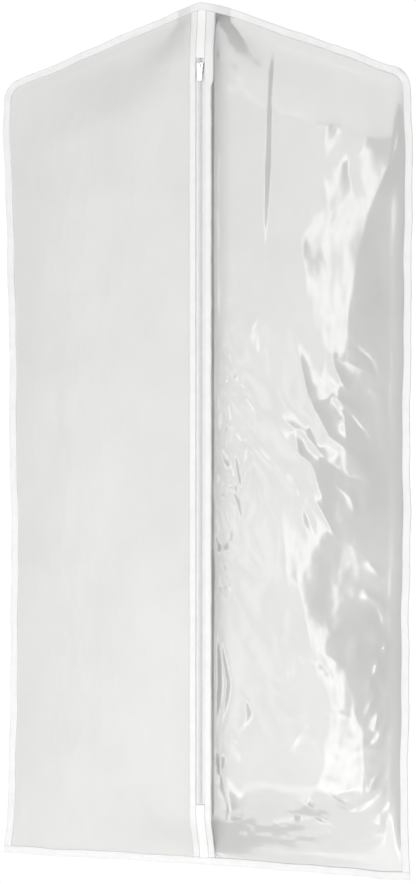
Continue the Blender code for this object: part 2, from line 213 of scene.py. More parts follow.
def grid_faces(rows, columns, closed=False):
    """Quads of a grid whose vertex number is row * columns + column. closed joins the last column to the
    first."""
    r = np.arange(rows - 1)[:, None] * columns
    c = np.arange(columns if closed else columns - 1)[None, :]
    n = (c + 1) % columns
    return np.stack([r + c, r + n, r + columns + n, r + columns + c], axis=-1).reshape(-1, 4)


def sheet_mesh(name, points, material, thickness):
    """A sheet over points[row, column], with its own thickness."""
    rows, columns = points.shape[:2]
    uvs = points.reshape(-1, 3)[:, [0, 2]]
    piece = new_mesh(name, points.reshape(-1, 3), grid_faces(rows, columns), uvs)
    piece.data.materials.append(material)
    if thickness:
        shell = piece.modifiers.new("thickness", "SOLIDIFY")
        shell.thickness = thickness
        shell.offset = 0.0
    return piece


def loops_mesh(name, rings, uvs, material):
    """A closed solid skinned over rings[station, corner], with its two ends filled."""
    rows, columns = rings.shape[:2]
    piece = new_mesh(name, rings.reshape(-1, 3), grid_faces(rows, columns, closed=True), uvs.reshape(-1, 2))
    bm = bmesh.new()
    bm.from_mesh(piece.data)
    ends = [edge for edge in bm.edges if edge.is_boundary]
    for edge in ends:
        edge.smooth = False
    for face in bmesh.ops.holes_fill(bm, edges=ends, sides=0)["faces"]:
        face.smooth = False
    bmesh.ops.recalc_face_normals(bm, faces=bm.faces)
    bm.to_mesh(piece.data)
    bm.free()
    piece.data.materials.append(material)
    return piece


# Materials


def make_material(name):
    made = bpy.data.materials.new(name)
    made.use_nodes = True
    return made, made.node_tree, made.node_tree.nodes["Principled BSDF"]


def node(tree, kind, **settings):
    made = tree.nodes.new(kind)
    for key, value in settings.items():
        setattr(made, key, value)
    return made


def noise_node(tree, where, scale, detail=3.0, roughness=0.55):
    made = node(tree, "ShaderNodeTexNoise")
    made.inputs["Scale"].default_value = scale
    made.inputs["Detail"].default_value = detail
    made.inputs["Roughness"].default_value = roughness
    tree.links.new(where, made.inputs["Vector"])
    return made.outputs["Fac"]


def ramp(tree, value, stops):
    made = node(tree, "ShaderNodeValToRGB")
    elements = made.color_ramp.elements
    while len(elements) < len(stops):
        elements.new(0.5)
    for element, (place, colour) in zip(elements, stops):
        element.position = place
        element.color = (*colour, 1.0)
    tree.links.new(value, made.inputs["Fac"])
    return made.outputs["Color"]


def bump(tree, height, strength, distance, onto=None):
    made = node(tree, "ShaderNodeBump")
    made.inputs["Strength"].default_value = strength
    made.inputs["Distance"].default_value = distance
    tree.links.new(height, made.inputs["Height"])
    if onto is not None:
        tree.links.new(onto, made.inputs["Normal"])
    return made.outputs["Normal"]


def spread_node(tree, value, low, high):
    """value, from 0 to 1, spread over low to high."""
    made = node(tree, "ShaderNodeMapRange")
    tree.links.new(value, made.inputs["Value"])
    made.inputs["To Min"].default_value = low
    made.inputs["To Max"].default_value = high
    return made


def math_node(tree, operation, a, b):
    made = node(tree, "ShaderNodeMath", operation=operation)
    for socket, value in zip(made.inputs, (a, b)):
        if isinstance(value, (int, float)):
            socket.default_value = value
        else:
            tree.links.new(value, socket)
    return made.outputs[0]


def weighted(tree, first, second, share):
    """The sum of share of the first and the rest of the second."""
    ours = math_node(tree, "MULTIPLY", first, share)
    theirs = math_node(tree, "MULTIPLY", second, 1 - share)
    return math_node(tree, "ADD", ours, theirs)


def grey(level, warmth=0.0):
    return (level, level, level - warmth)


def matte_sheet_material(name, dark, light):
    """Non-woven sheet: a fine heat-bonded dot pattern, cloudy fibre density and a soft sheen."""
    made, tree, shader = make_material(name)
    where = node(tree, "ShaderNodeTexCoord").outputs["Object"]
    cloud = noise_node(tree, where, 9.0, 4.0)
    fibre = noise_node(tree, where, 420.0, 3.0, 0.7)
    both = weighted(tree, cloud, fibre, 0.75)
    colour = ramp(tree, both, [(0.30, grey(dark, 0.014)), (0.70, grey(light, 0.012))])
    tree.links.new(colour, shader.inputs["Base Color"])
    shader.inputs["Roughness"].default_value = 0.62
    shader.inputs["Specular IOR Level"].default_value = 0.35
    shader.inputs["Sheen Weight"].default_value = 0.12
    shader.inputs["Sheen Roughness"].default_value = 0.5
    dots = node(tree, "ShaderNodeTexVoronoi", feature="F1")
    dots.inputs["Scale"].default_value = 620.0
    dots.inputs["Randomness"].default_value = 0.25
    tree.links.new(where, dots.inputs["Vector"])
    pressed = bump(tree, dots.outputs["Distance"], 0.35, 0.00012)
    tree.links.new(bump(tree, fibre, 0.25, 0.00010, pressed), shader.inputs["Normal"])
    return made


HEAD_ON_SHINE = 0.0465  # the share of light that a face of the vinyl returns straight back


def vinyl_material():
    """Clear soft vinyl: see-through with a grey tint and a little haze. Its two faces shine, one lobe softly
    and one sharply, and the same seen from the front or from behind."""
    made, tree, shader = make_material("clear_vinyl")
    where = node(tree, "ShaderNodeTexCoord").outputs["Object"]
    shader.inputs["Base Color"].default_value = (0.93, 0.94, 0.94, 1.0)
    shader.inputs["Roughness"].default_value = 0.30
    shader.inputs["IOR"].default_value = 1.5
    fine = bump(tree, noise_node(tree, where, 30.0, 3.0), 0.08, 0.0003)
    tree.links.new(fine, shader.inputs["Normal"])
    clear = node(tree, "ShaderNodeBsdfTransparent")
    clear.inputs["Color"].default_value = (0.940, 0.942, 0.938, 1.0)
    shine = clear
    turned = node(tree, "ShaderNodeLayerWeight")
    turned.inputs["Blend"].default_value = 0.5
    tree.links.new(fine, turned.inputs["Normal"])
    rising = math_node(tree, "POWER", turned.outputs["Facing"], 5.0)
    facing = math_node(tree, "ADD", math_node(tree, "MULTIPLY", rising, 1 - HEAD_ON_SHINE), HEAD_ON_SHINE)
    for roughness, share in ((0.32, 1.75), (0.14, 1.95)):
        gloss = node(tree, "ShaderNodeBsdfGlossy")
        gloss.inputs["Roughness"].default_value = roughness
        tree.links.new(fine, gloss.inputs["Normal"])
        over = node(tree, "ShaderNodeMixShader")
        tree.links.new(math_node(tree, "MULTIPLY", facing, share), over.inputs[0])
        tree.links.new(shine.outputs[0], over.inputs[1])
        tree.links.new(gloss.outputs[0], over.inputs[2])
        shine = over
    haze = spread_node(tree, noise_node(tree, where, 12.0, 5.0), 0.04, 0.12)
    haze.inputs["From Min"].default_value = 0.35
    haze.inputs["From Max"].default_value = 0.70
    cloudy = node(tree, "ShaderNodeMixShader")
    tree.links.new(haze.outputs[0], cloudy.inputs[0])
    tree.links.new(shine.outputs[0], cloudy.inputs[1])
    tree.links.new(shader.outputs[0], cloudy.inputs[2])
    tree.links.new(cloudy.outputs[0], tree.nodes["Material Output"].inputs["Surface"])
    return made


def woven_material(name, level, rib, warmth=0.0):
    """Narrow woven tape: ribs across it every rib metres and a finer weave between them, read from the
    tape's own length and width. Its colour is darker in the weave's troughs, painted shade of the ribs,
    mixed with random stains."""
    made, tree, shader = make_material(name)
    where = node(tree, "ShaderNodeUVMap").outputs["UV"]
    solid = node(tree, "ShaderNodeTexCoord").outputs["Object"]
    bands = []
    for axis, pitch in (("X", rib), ("Y", rib * 0.8)):
        wave = node(tree, "ShaderNodeTexWave", wave_type="BANDS", bands_direction=axis, wave_profile="SIN")
        wave.inputs["Scale"].default_value = math.pi / 10 / pitch
        wave.inputs["Distortion"].default_value = 0.6
        wave.inputs["Detail"].default_value = 1.0
        tree.links.new(where, wave.inputs["Vector"])
        bands.append(wave.outputs["Fac"])
    fainter = math_node(tree, "ADD", math_node(tree, "MULTIPLY", bands[1], 0.5), 0.5)
    weave = math_node(tree, "MULTIPLY", bands[0], fainter)
    stain = noise_node(tree, solid, 60.0, 3.0)
    # painted shade: the tape's colour follows the weave's relief, darker in its troughs, mixed with random
    # stains
    tone = weighted(tree, weave, stain, 0.45)
    colour = ramp(tree, tone, [(0.15, grey(level - 0.10, warmth)), (0.65, grey(level, warmth))])
    tree.links.new(colour, shader.inputs["Base Color"])
    shader.inputs["Roughness"].default_value = 0.60
    shader.inputs["Sheen Weight"].default_value = 0.15
    tree.links.new(bump(tree, weave, 0.55, 0.00018), shader.inputs["Normal"])
    return made


def nylon_material():
    made, tree, shader = make_material("nylon_teeth")
    where = node(tree, "ShaderNodeTexCoord").outputs["Object"]
    spots = noise_node(tree, where, 300.0, 2.0)
    tree.links.new(ramp(tree, spots, [(0.3, grey(0.82)), (0.7, grey(0.88))]), shader.inputs["Base Color"])
    shader.inputs["Roughness"].default_value = 0.34
    tree.links.new(bump(tree, spots, 0.15, 0.00005), shader.inputs["Normal"])
    return made


def thread_material():
    made, tree, shader = make_material("sewing_thread")
    where = node(tree, "ShaderNodeTexCoord").outputs["Object"]
    twist = noise_node(tree, where, 1500.0, 2.0)
    tree.links.new(ramp(tree, twist, [(0.3, grey(0.72)), (0.7, grey(0.86))]), shader.inputs["Base Color"])
    shader.inputs["Roughness"].default_value = 0.5
    shader.inputs["Sheen Weight"].default_value = 0.2
    return made


def metal_material(name, level, smoothest, roughest):
    """Plated metal with fine handling scratches."""
    made, tree, shader = make_material(name)
    where = node(tree, "ShaderNodeTexCoord").outputs["Object"]
    stretch = node(tree, "ShaderNodeMapping")
    stretch.inputs["Scale"].default_value = (1.0, 1.0, 0.12)
    tree.links.new(where, stretch.inputs["Vector"])
    scratch = noise_node(tree, stretch.outputs[0], 1400.0, 3.0, 0.7)
    shader.inputs["Base Color"].default_value = (level, level, level * 1.01, 1.0)
    shader.inputs["Metallic"].default_value = 1.0
    rough = spread_node(tree, scratch, smoothest, roughest)
    tree.links.new(rough.outputs[0], shader.inputs["Roughness"])
    tree.links.new(bump(tree, scratch, 0.10, 0.00003), shader.inputs["Normal"])
    return made


MATTE = matte_sheet_material("matte_nonwoven", 0.602, 0.645)
PATCH_CLOTH = matte_sheet_material("white_nonwoven", 0.775, 0.815)
VINYL = vinyl_material()
TRIM = woven_material("edge_tape", 0.79, 0.0009)
ZIP_WEAVE = woven_material("zip_weave", 0.78, 0.0007)
NYLON = nylon_material()
THREAD = thread_material()
BRIGHT = metal_material("bright_plate", 0.74, 0.08, 0.24)
ALUMINIUM = metal_material("dull_aluminium", 0.50, 0.45, 0.60)


# Sheets


def panel_grid(side, across, down, inner, outer, top_inset):
    """x and z of a panel's grid [row, column], from the top edge down and from the inner edge out."""
    u = np.linspace(0, 1, across)
    x = inner + (outer - inner) * u
    v = np.linspace(0, 1, down)[:, None]
    top = edge_z(x, top_inset)[None, :]
    z = top + (BOTTOM + TUCK - top) * v
    return side * np.broadcast_to(x, z.shape), z


def sewn_distance(x, z):
    """Metres in from the nearest binding or placket."""
    ax = np.abs(x)
    top = (edge_z(x, BINDING) - z) / SLANT
    return np.minimum.reduce([top, z - BOTTOM - BINDING, SIDE - BINDING - ax, ax - PLACKET_OUT])


def above_binding(x, z):
    """Metres in from the top and bottom bindings."""
    return np.minimum((edge_z(x, BINDING) - z) / SLANT, z - BOTTOM - BINDING)


def fractal(x, z, scale, octaves, seed, stretch=(1.0, 1.0)):
    """Smooth noise of about -1 to 1 over the panel."""
    flat = np.zeros(x.size)
    for i, (a, b) in enumerate(zip((x * scale * stretch[0]).ravel(), (z * scale * stretch[1]).ravel())):
        flat[i] = noise.fractal((a, b, seed), 0.9, 2.1, octaves)
    return flat.reshape(x.shape)


def fold(x, z, path, height, width, lean=0.0):
    """A soft crease along path, highest in its middle and dying out at both ends. lean makes one flank
    steeper."""
    best = np.full(x.shape, 1e9)
    share = np.zeros(x.shape)
    sign = np.zeros(x.shape)
    lengths = [math.dist(a, b) for a, b in zip(path, path[1:])]
    total, run = sum(lengths), 0.0
    for (ax, az), (bx, bz), length in zip(path, path[1:], lengths):
        dx, dz = (bx - ax) / length, (bz - az) / length
        along = np.clip((x - ax) * dx + (z - az) * dz, 0, length)
        ox, oz = x - ax - along * dx, z - az - along * dz
        far = np.hypot(ox, oz)
        nearer = far < best
        best = np.where(nearer, far, best)
        share = np.where(nearer, (run + along) / total, share)
        sign = np.where(nearer, np.sign(ox * dz - oz * dx), sign)
        run += length
    ends = np.sin(math.pi * np.clip(share, 0.02, 0.98)) ** 0.6
    reach = width * (1 + lean * sign)
    return height * ends * np.exp(-((best / reach) ** 1.4))


# The matte panel's faint pressed lines, as its folds
MATTE_FOLDS = [
    ([(-0.285, -0.434), (-0.160, -0.430), (-0.030, -0.431)], 0.00035, 0.0030, 0.3),
    ([(-0.262, -0.120), (-0.266, -0.500), (-0.260, -0.980)], 0.00030, 0.0040, 0.0),
]

# The clear panel's folds: ((x, z) points, height, width, lean), in metres on the bag
VINYL_FOLDS = [
    (
        [(0.135, -0.485), (0.160, -0.580), (0.190, -0.637), (0.235, -0.670), (0.255, -0.720)],
        0.0026,
        0.013,
        0.4,
    ),
    ([(0.095, -0.600), (0.130, -0.645), (0.165, -0.680), (0.180, -0.720)], 0.0024, 0.012, 0.0),
    ([(0.118, -0.700), (0.122, -0.760), (0.128, -0.870)], 0.0022, 0.022, 0.0),
    ([(0.022, -0.540), (0.036, -0.620), (0.052, -0.730)], 0.0018, 0.010, 0.0),
    ([(0.022, -0.900), (0.040, -1.000), (0.026, -1.090)], 0.0026, 0.009, 0.4),
    ([(0.024, -1.100), (0.046, -1.180), (0.030, -1.240)], 0.0026, 0.009, -0.4),
    ([(0.280, -0.835), (0.284, -0.880), (0.292, -0.925)], 0.0026, 0.013, 0.0),
    ([(0.258, -1.240), (0.276, -1.160), (0.290, -1.070)], 0.0028, 0.013, 0.0),
    ([(0.060, -1.215), (0.120, -1.226), (0.190, -1.212), (0.240, -1.230)], 0.0016, 0.006, 0.0),
]


# Where the clear panel is crumpled: middle (x, z), spread (x, z), how many, their lean from upright in
# degrees with its spread, length, width, steepness
CRUMPLES = [
    ((0.042, -0.70), (0.026, 0.15), 60, 20, 34, 0.050, 0.0042, 0.27),
    ((0.095, -0.62), (0.040, 0.10), 16, 35, 20, 0.075, 0.0060, 0.18),
    ((0.150, -1.215), (0.100, 0.022), 60, 80, 30, 0.045, 0.0042, 0.40),
    ((0.272, -1.06), (0.016, 0.14), 28, -15, 22, 0.055, 0.0042, 0.26),
    ((0.270, -0.88), (0.014, 0.04), 8, 40, 25, 0.050, 0.0075, 0.22),
    ((0.205, -0.64), (0.050, 0.06), 18, 55, 18, 0.070, 0.0055, 0.18),
    ((0.150, -0.13), (0.090, 0.06), 30, 10, 32, 0.070, 0.0080, 0.050),
    ((0.035, -1.10), (0.016, 0.12), 18, 8, 10, 0.080, 0.0050, 0.26),
    ((0.180, -1.05), (0.050, 0.08), 16, 60, 40, 0.050, 0.0060, 0.08),
    ((0.170, -0.42), (0.080, 0.20), 18, 12, 15, 0.110, 0.0080, 0.09),
    ((0.120, -0.80), (0.060, 0.10), 14, 10, 20, 0.080, 0.0070, 0.10),
]


def crumpled(x, z):
    """Small creases scattered over the crumpled places."""
    total = np.zeros(x.shape)
    for middle, spread, count, lean, spin, length, width, steepness in CRUMPLES:
        for _ in range(count):
            cx, cz = rng.normal(middle, spread)
            turn = math.radians(rng.normal(lean, spin))
            half = length * rng.uniform(0.5, 1.2) / 2
            bend = rng.normal(0, 0.15) * half
            across, down = math.sin(turn), -math.cos(turn)
            path = [
                (cx - across * half, cz - down * half),
                (cx - down * bend, cz + across * bend),
                (cx + across * half, cz + down * half),
            ]
            wide = width * rng.uniform(0.7, 1.5)
            rise = wide * steepness * rng.uniform(0.5, 1.2) * rng.choice((-1, 1))
            near = np.abs(x - cx) + np.abs(z - cz) < 2 * half + 5 * wide
            total[near] += fold(x[near], z[near], path, rise, wide)
    return total


# Over what distance a panel takes up its drape, from its placket and from its bound edges, and swells out
SLACK_REACH = 0.100
BOUND_REACH = 0.022
SLOW_FADE = 0.125
# Beside its placket the clear sheet dips in, steeply at first
GROOVE = 0.0015
GROOVE_MIDDLE = 0.0052
GROOVE_INNER, GROOVE_OUTER = 0.0030, 0.0085
# A line pressed into the clear sheet near its top: where it starts, its lean, slope, half width and height
PRESSED_X, PRESSED_TOP = 0.104, -0.10
PRESSED_LEAN = 0.030
PRESSED_SLOPE = 0.36
PRESSED_WIDTH = 0.0065
PRESSED_Z, PRESSED_REACH = -0.205, 0.12


def wrinkled(side, x, z):
    """The front panels' surface with its folds, kept off the sewn edges."""
    room = smooth(sewn_distance(x, z) / 0.018)
    y = front_y(x, z)
    beside = np.abs(x) - PLACKET_OUT
    fullness = clear_fullness(x, z) if side > 0 else None
    draped = front_y(x, z, eased=True)
    slack = smooth(beside / SLACK_REACH)
    draped = draped + slack * (front_y(x, z, fullness, SLOW_FADE, True) - draped)
    bound = np.minimum(above_binding(x, z), SIDE - BINDING - np.abs(x))
    y = y + smooth(bound / BOUND_REACH) * (draped - y)
    if side < 0:
        rise = sum(fold(x, z, *one) for one in MATTE_FOLDS)
        rise = rise + 0.0016 * fractal(x, z, 7.0, 3, 3.1) + 0.0010 * fractal(x, z, 26.0, 3, 5.7, (1.0, 0.5))
    else:
        across = beside - GROOVE_MIDDLE
        wide = np.where(across < 0, GROOVE_INNER, GROOVE_OUTER)
        y = y + GROOVE * np.exp(-((across / wide) ** 2)) * smooth(above_binding(x, z) / 0.008)
        across = x - PRESSED_X - PRESSED_LEAN * (z - PRESSED_TOP)
        pressed = np.exp(-((across / PRESSED_WIDTH) ** 2)) * swell(z, PRESSED_Z, PRESSED_REACH)
        y = y + PRESSED_SLOPE * across * pressed
        rise = sum(fold(x, z, *one) for one in VINYL_FOLDS)
        ridges = 1 - 2 * np.abs(fractal(x, z, 9.0, 2, 1.3, (1.0, 0.55)))
        small = fractal(x, z, 26.0, 3, 8.2, (1.0, 0.7))
        rise = rise + 0.0012 * ridges + 0.0003 * small + crumpled(x, z)
    depth = np.clip((BACK_Y - y - 0.002) / 0.012, 0, 1)
    return np.stack([x * np.ones_like(y), y - rise * room * depth, z * np.ones_like(y)], axis=-1)


# Where the clear panel turns away, as (z, x) places down it
TURN_PLACES = [
    (-0.060, 0.250),
    (-0.166, 0.290),
    (-0.250, 0.270),
    (-0.310, 0.244),
    (-0.380, 0.229),
    (-0.480, 0.213),
    (-0.586, 0.203),
    (-0.645, 0.217),
    (-0.690, 0.186),
    (-0.800, 0.176),
    (-0.870, 0.172),
    (-0.940, 0.200),
    (-1.040, 0.238),
    (-1.110, 0.242),
    (-1.200, 0.236),
]
TURN_SLOPE = 0.150  # how steep the sheet is where it turns away TURN_NEAR out
TURN_NEAR = 0.15
EASING = 0.37  # how much less steep it is for each metre further out that it turns
FAR_SLOPE = 0.168  # how steep it is from there to the side


def clear_fullness(x, z):
    """How full the clear panel hangs, 1 at the zip to 0 at the side: level at first, then bending away."""
    places = TURN_PLACES[::-1]
    turn = np.interp(z, [place[0] for place in places], [place[1] for place in places])
    reach = SIDE - BINDING
    slope = TURN_SLOPE - EASING * (turn - TURN_NEAR)
    power = slope * turn / np.maximum(FILL - FAR_SLOPE * (reach - turn), 0.0040)
    power = np.clip(power, 1.7, 6.0)
    fall = slope * turn / power
    near = fall * (np.minimum(np.abs(x), turn) / turn) ** power
    beyond = (FILL - fall) * np.clip((np.abs(x) - turn) / (reach - turn), 0, 1)
    return 1 - (near + beyond) / FILL


def front_panel(name, side, across, down, material, thickness):
    x, z = panel_grid(side, across, down, PANEL_IN, PANEL_OUT, TUCK)
    points = settle(wrinkled(side, x, z))
    if side > 0:
        points = points[:, ::-1]  # so that its faces look outwards, as the left panel's do
    piece = sheet_mesh(name, points, material, thickness)
    return piece


def back_sheet():
    u = np.linspace(-1, 1, 121)
    x = PANEL_OUT * u
    v = np.linspace(0, 1, 241)[:, None]
    top = edge_z(x, TUCK)[None, :]
    z = top + (BOTTOM + TUCK - top) * v
    x = np.broadcast_to(x, z.shape)
    inside = [edge_z(x, BINDING) - z, z - BOTTOM - BINDING, SIDE - BINDING - np.abs(x)]
    room = smooth(np.minimum.reduce(inside) / 0.03)
    drape = 0.0022 * fractal(x, z, 5.0, 3, 12.0, (1.6, 0.5)) + 0.0008 * fractal(x, z, 21.0, 3, 4.4)
    y = BACK_Y + drape * room + 0.0015 * room
    piece = sheet_mesh("back_sheet", settle(np.stack([x, y, z], axis=-1)), MATTE, FABRIC)
    return piece


# Tape folded over an edge


def folded_section(reach, half, thick=TAPE):
    """A closed U section as (distance in from the fold, offset): out along one leg, round the fold, back
    along the other, and home along the inner faces. half is from the middle to each leg's middle."""
    outer, inner = half + thick / 2, half - thick / 2
    turn = np.linspace(-math.pi / 2, math.pi / 2, 7)
    legs = np.linspace(reach, outer, 6)
    out = [(d, -outer) for d in legs[:-1]]
    out += [(outer - outer * math.cos(t), outer * math.sin(t)) for t in turn]
    out += [(d, outer) for d in legs[::-1][1:]]
    out += [(d, inner) for d in legs[:-1]]
    out += [(outer - inner * math.cos(t), inner * math.sin(t)) for t in turn[::-1]]
    out += [(d, -inner) for d in legs[::-1][1:]]
    return np.array(out)


def along_section(section):
    """The length run at each corner of a section."""
    return np.cumsum(np.r_[0, np.hypot(*np.diff(section, axis=0).T)])


def tape_piece(name, cut, stations, wraps, run, seed, gather):
    """Tape folded over an edge. cut(station, inset) gives (x, z) arrays; wraps is "front", "back" or "both"
    for the sheets between its legs; run is the length along it at each station; gather adds puckers."""
    section = folded_section(BINDING, LEG)
    inset, offset = section[:, 0], section[:, 1]
    x, z = cut(stations[:, None], inset[None, :])
    front = front_y(x, z)
    back = np.full(x.shape, BACK_Y)
    low = front if wraps in ("front", "both") else back
    high = back if wraps in ("back", "both") else front
    middle, spread = (low + high) / 2, (high - low) / 2
    facing = np.clip(offset / LEG, -1, 1)[None, :]
    y = middle + offset[None, :] + spread * facing
    face = np.sign(offset)[None, :]
    seam = BINDING - STITCH_IN
    length = run[:, None] * np.ones_like(x)
    pressed = 0.00022 * np.exp(-(((inset[None, :] - seam) / 0.0011) ** 2))
    puffs = ripple_noise(length, face * 3.0 + seed, 95.0)
    soft = smooth(inset[None, :] / 0.003)
    belly = np.exp(-(((inset[None, :] - seam * 0.45) / 0.0028) ** 2))
    y = y + face * (-pressed + (0.00042 + gather) * (puffs - 0.15) * belly)
    curl = ripple_noise(length, face * 5.0 + seed, 60.0) * smooth((inset[None, :] - seam) / 0.002)
    y = y + face * 0.00035 * np.maximum(curl, 0)
    edge = ripple_noise(length, seed + 9.0, 70.0) * (0.00045 + gather)
    push = edge * (1 - soft)
    ahead = inset[None, :] + push
    x, z = cut(stations[:, None], np.where(inset[None, :] < 0.004, ahead, inset[None, :] * np.ones_like(x)))
    rings = settle(np.stack([x, y, z], axis=-1))
    uvs = np.stack([length, along_section(section)[None, :] * np.ones_like(x)], -1)
    piece = loops_mesh(name, rings, uvs, TRIM)
    return piece


def ripple_noise(length, shift, scale):
    """Smooth noise along a tape, -1 to 1, different for each shift."""
    shift = shift * np.ones_like(length)
    turns = length * scale
    total = np.sin(turns + 2.3 * shift) + 0.7 * np.sin(turns * 1.93 + 5.1 * shift + 1.0)
    total += 0.5 * np.sin(turns * 3.17 + 1.7 * shift + 2.0) + 0.8 * np.sin(turns * 0.41 + 0.9 * shift)
    return total / 2.2


STITCH_IN = 0.0024  # each row of stitches from its tape's edge
STITCH_PITCH = 0.0036
STITCH_LENGTH = 0.0026
STITCH_RADIUS = 0.00024
STITCH_ARCH = 0.00010
STITCH_SIDES = 6
# Places along a stitch, from its middle in shares of its length, and its thickness there
STITCH_SECTIONS = np.array([(-0.5, 0.25), (-0.44, 0.8), (-0.25, 1.0), (0.25, 1.0), (0.44, 0.8), (0.5, 0.25)])


def stitch_row(points, outward):
    """Threads lying end to end along points[station, 3], each a rounded capsule half sunk in the tape.
    Returns vertices and faces."""
    steps = np.r_[0, np.cumsum(np.linalg.norm(np.diff(points, axis=0), axis=1))]
    count = int((steps[-1] - 0.002) / STITCH_PITCH)
    sides, ends = STITCH_SIDES, STITCH_SECTIONS
    turn = np.arange(sides) * 2 * math.pi / sides
    vertices, faces = [], []
    for k in range(count):
        middle = 0.0015 + (k + 0.5) * STITCH_PITCH + rng.normal(0, 0.00012)
        places = middle + STITCH_LENGTH * ends[:, 0]
        spine = np.stack([np.interp(places, steps, points[:, axis]) for axis in range(3)], axis=-1)
        along = spine[-1] - spine[0]
        along /= np.linalg.norm(along)
        across = np.cross(along, outward)
        across /= np.linalg.norm(across)
        rise = np.cross(across, along)
        arch = 1 - (2 * ends[:, 0]) ** 2
        start = len(vertices)
        for centre, (_, share), lift in zip(spine, ends, arch):
            core = centre + rise * STITCH_ARCH * lift
            for t in turn:
                spoke = across * math.cos(t) * 1.15 + rise * math.sin(t)
                vertices.append(core + share * STITCH_RADIUS * spoke)
        for ring in range(len(ends) - 1):
            for i in range(sides):
                j = (i + 1) % sides
                a, b = start + ring * sides, start + (ring + 1) * sides
                faces.append((a + i, a + j, b + j, b + i))
        last = start + (len(ends) - 1) * sides
        faces.append(tuple(start + i for i in range(sides))[::-1])
        faces.append(tuple(last + i for i in range(sides)))
    return vertices, faces


def stitches(name, rows):
    vertices, faces = [], []
    for points, outward in rows:
        more, joined = stitch_row(points, np.array(outward, float))
        faces += [tuple(i + len(vertices) for i in face) for face in joined]
        vertices += more
    mesh = bpy.data.meshes.new(name)
    mesh.from_pydata([tuple(v) for v in vertices], [], faces)
    mesh.polygons.foreach_set("use_smooth", np.ones(len(mesh.polygons), bool))
    mesh.materials.append(THREAD)
    piece = link(name, mesh)
    return piece


# Where each tape is cut, as functions of a place along it and the distance in from the outline


FIRST = math.atan2(1, SLOPE)  # the corner arc's angle where the shoulder meets it


def shoulder_cut(side):
    def cut(share, inset):
        reach = CORNER_RADIUS - inset
        start_x = MOUTH_HALF + GAP / 2
        end_x = ARC_X + reach * SLOPE / SLANT
        end_z = ARC_Z + reach / SLANT
        start_z = edge_z(start_x * np.ones_like(inset), 0.0) - inset * SLANT
        x = start_x + (end_x - start_x) * share
        return side * x, start_z + (end_z - start_z) * share

    return cut


def corner_cut(side):
    def cut(share, inset):
        angle = FIRST * (1 - share)
        reach = CORNER_RADIUS - inset
        return side * (ARC_X + reach * np.cos(angle)), ARC_Z + reach * np.sin(angle)

    return cut


def side_cut(side):
    low, high = BOTTOM + BINDING - GAP, ARC_Z

    def cut(share, inset):
        z = high + (low - high) * share
        return side * (SIDE - inset) * np.ones_like(z), z * np.ones_like(inset)

    return cut


def bottom_cut(share, inset):
    x = -SIDE + 2 * SIDE * share
    return x * np.ones_like(inset), (BOTTOM + inset) * np.ones_like(x)


def mouth_cut(share, inset):
    x = (-1 + 2 * share) * (MOUTH_HALF + GAP / 2) * np.ones_like(inset)
    return x, edge_z(x, inset)


def bindings():
    """Every bound edge, with its two rows of stitches. Returns the pieces by name."""
    runs = []
    shoulder, corner = (SIDE - MOUTH_HALF - CORNER_RADIUS) * SLANT, CORNER_RADIUS * FIRST
    for hand, side in (("left", -1), ("right", 1)):
        runs.append(("binding_shoulder_" + hand, shoulder_cut(side), 0.0, shoulder, "both", side))
        runs.append(("binding_corner_" + hand, corner_cut(side), shoulder, corner, "both", side))
        side_length = ARC_Z - BOTTOM - BINDING
        runs.append(("binding_side_" + hand, side_cut(side), shoulder + corner, side_length, "both", side))
    runs.append(("binding_bottom", bottom_cut, 0.0, 2 * SIDE, "both", 5))
    runs.append(("mouth_binding_front", mouth_cut, 0.0, 2 * MOUTH_HALF, "front", 7))
    runs.append(("mouth_binding_back", mouth_cut, 0.0, 2 * MOUTH_HALF, "back", 11))
    made, rows = {}, {"front": [], "back": []}
    for name, cut, start, length, wraps, seed in runs:
        count = max(12, int(length / 0.0020))
        share = np.linspace(0, 1, count)
        run = start + share * length
        knot = 0.0022 * swell(run, shoulder + corner * 0.35, 0.013) if seed == 1 else 0.0 * run
        piece = tape_piece(name + "_tape", cut, share, wraps, run, seed, knot[:, None])
        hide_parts(name)
        made[name] = piece
        x, z = cut(share[:, None], np.array([[BINDING - STITCH_IN]]))
        x, z = x[:, 0], z[:, 0]
        lie = LEG + TAPE / 2 - 0.00022 + STITCH_RADIUS * 0.25
        if wraps != "back":
            rows["front"].append((settle(np.stack([x, front_y(x, z) - lie, z], -1)), (0, -1, 0)))
        if wraps != "front":
            rows["back"].append((settle(np.stack([x, np.full(x.shape, BACK_Y + lie), z], -1)), (0, 1, 0)))
    made["stitches_front"] = stitches("stitches_edges_front", rows["front"])
    made["stitches_back"] = stitches("stitches_edges_back", rows["back"])
    return made


# Strips along the zip


def strip_rows(high, low, spacing=0.0022):
    return np.linspace(high, low, int((high - low) / spacing))


WIDER = 0.0035  # the right placket's top end, above WIDER_FROM
WIDER_FROM = -0.126
PLACKET_ROWS = (0.22, 0.80)  # its two rows of stitches, in shares of its width


def widening(side, z):
    return (WIDER if side > 0 else 0.0) * smooth((z - WIDER_FROM) / 0.009)


